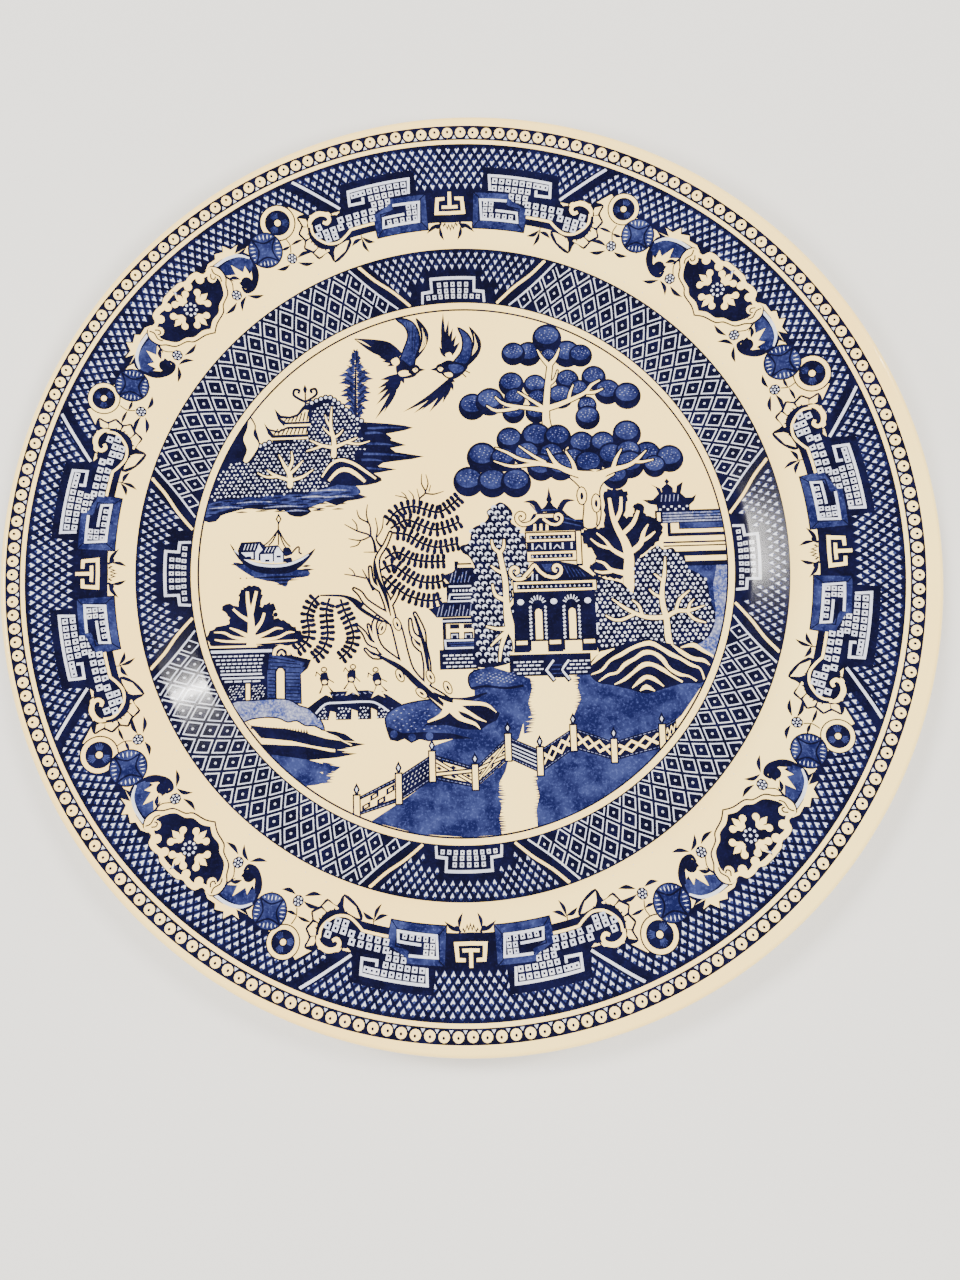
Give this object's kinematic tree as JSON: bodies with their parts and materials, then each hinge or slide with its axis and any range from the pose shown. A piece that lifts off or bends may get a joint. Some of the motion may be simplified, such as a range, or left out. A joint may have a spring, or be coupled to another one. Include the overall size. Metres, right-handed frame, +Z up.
{
  "type": "dinner plate",
  "caption": "Round china dinner plate with a sloping rim, a shallow well and a foot ring, printed in blue under a clear glaze, for serving food or for display.",
  "frame": {"origin": "centre of the plane that the foot ring rests on", "axes": "+Z up along the plate's axis, +Y to the top of the printed scene, +X to its right"},
  "size_m": [0.26, 0.26, 0.024],
  "materials": {
    "biscuit": "fired, unglazed, matte",
    "rim_print": "cobalt print under gloss glaze",
    "verge_print": "cobalt print under gloss glaze",
    "scene_print": "cobalt print under gloss glaze",
    "glaze": "clear gloss over ivory",
    "recess_glaze": "clear gloss over ivory"
  },
  "bodies": {
    "root": {"earthenware_body": "biscuit", "rim_border_transfer": "rim_print", "verge_border_transfer": "verge_print", "centre_scene_transfer": "scene_print", "face_glaze": "glaze", "recess_glaze": "recess_glaze"}
  },
  "joints": []
}
